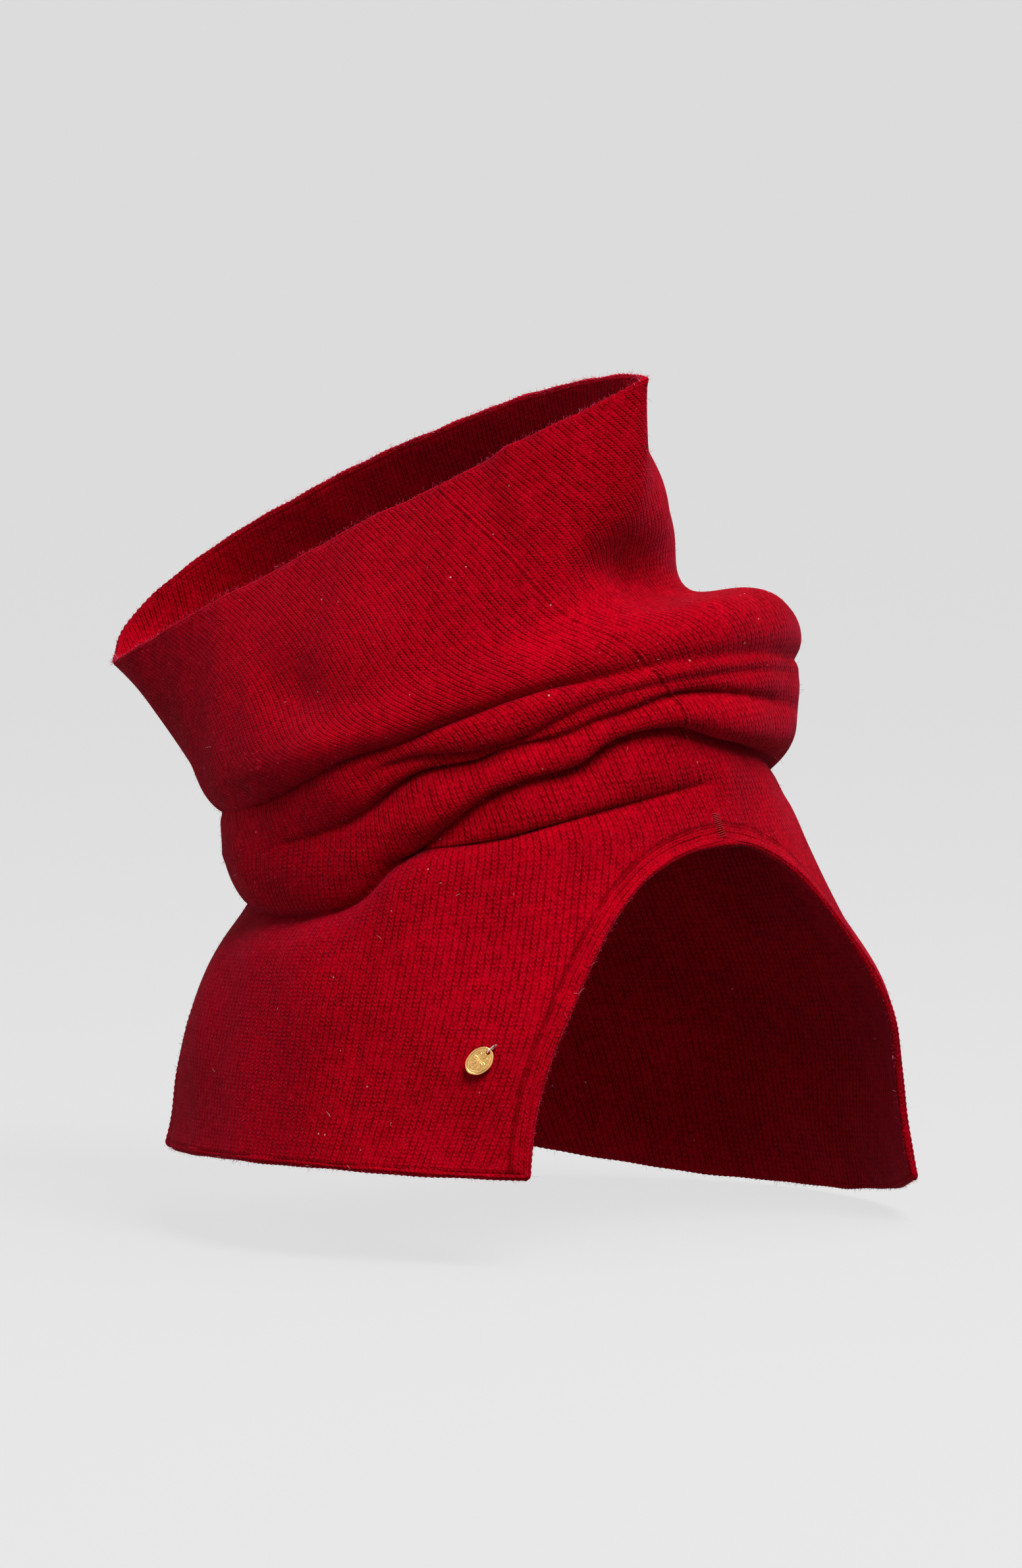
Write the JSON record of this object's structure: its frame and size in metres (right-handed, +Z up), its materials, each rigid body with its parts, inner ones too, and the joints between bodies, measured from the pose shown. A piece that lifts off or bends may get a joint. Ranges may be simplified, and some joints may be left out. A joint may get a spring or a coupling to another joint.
{
  "type": "neck gaiter",
  "caption": "Knitted neck warmer with a tall gathered collar, front and back bibs divided by arched side slits, and a small coin charm.",
  "frame": {"origin": "middle of the neck opening at the gathered neck, where the wearer's neck holds the garment", "axes": "+Z up along the wearer's neck, -Y to the wearer's front, +X to the wearer's left"},
  "size_m": [0.2753, 0.2666, 0.295],
  "materials": {
    "red_knit": "brushed fine knit with a soft nap",
    "red_edge": "knitted band with a fuzzy edge",
    "red_thread": "linked wool thread",
    "pale_thread": "twisted sewing thread",
    "label": "woven satin ribbon",
    "ring_metal": "polished wire",
    "gold": "worn gold plating"
  },
  "bodies": {
    "neck_band": {"neck_front": "red_knit", "neck_back": "red_knit", "neck_seam_left": "red_thread", "neck_seam_right": "red_thread", "bar_tack_left": "red_thread", "bar_tack_right": "red_thread", "care_label": "label"},
    "collar": {"collar_front": "red_knit", "collar_back": "red_knit", "rim_edge_front": "red_edge", "rim_edge_back": "red_edge", "collar_seam_left": "red_thread", "collar_seam_right": "red_thread"},
    "front_bib": {"bib_front": "red_knit", "hem_edge_front": "red_edge", "slit_edge_front_left": "red_edge", "slit_edge_front_right": "red_edge", "thread_loop": "pale_thread", "thread_knot": "red_thread"},
    "back_bib": {"bib_back": "red_knit", "hem_edge_back": "red_edge", "slit_edge_back_left": "red_edge", "slit_edge_back_right": "red_edge"},
    "jump_ring": {"jump_ring": "ring_metal"},
    "charm": {"coin_charm": "gold"}
  },
  "joints": [
    {"name": "collar_pull", "type": "slide", "parent": "neck_band", "child": "collar", "axis": [-0.3576, -0.2434, 0.9016], "range_m": [0, 0.045]},
    {"name": "front_bib_lift", "type": "hinge", "parent": "neck_band", "child": "front_bib", "pos_m": [0, -0.0945, -0.026], "axis": [-1, 0, 0], "range_deg": [0, 50]},
    {"name": "back_bib_lift", "type": "hinge", "parent": "neck_band", "child": "back_bib", "pos_m": [0, 0.1045, -0.026], "axis": [1, 0, 0], "range_deg": [0, 50]},
    {"name": "charm_lift", "type": "hinge", "parent": "front_bib", "child": "jump_ring", "pos_m": [0.07685, -0.08514, -0.08163], "axis": [-0.6631, -0.3154, 0.6788], "range_deg": [0, 50]},
    {"name": "charm_swing", "type": "hinge", "parent": "jump_ring", "child": "charm", "pos_m": [0.0759, -0.08708, -0.08346], "axis": [0.5998, -0.7665, 0.2297], "range_deg": [-28, 28]}
  ]
}
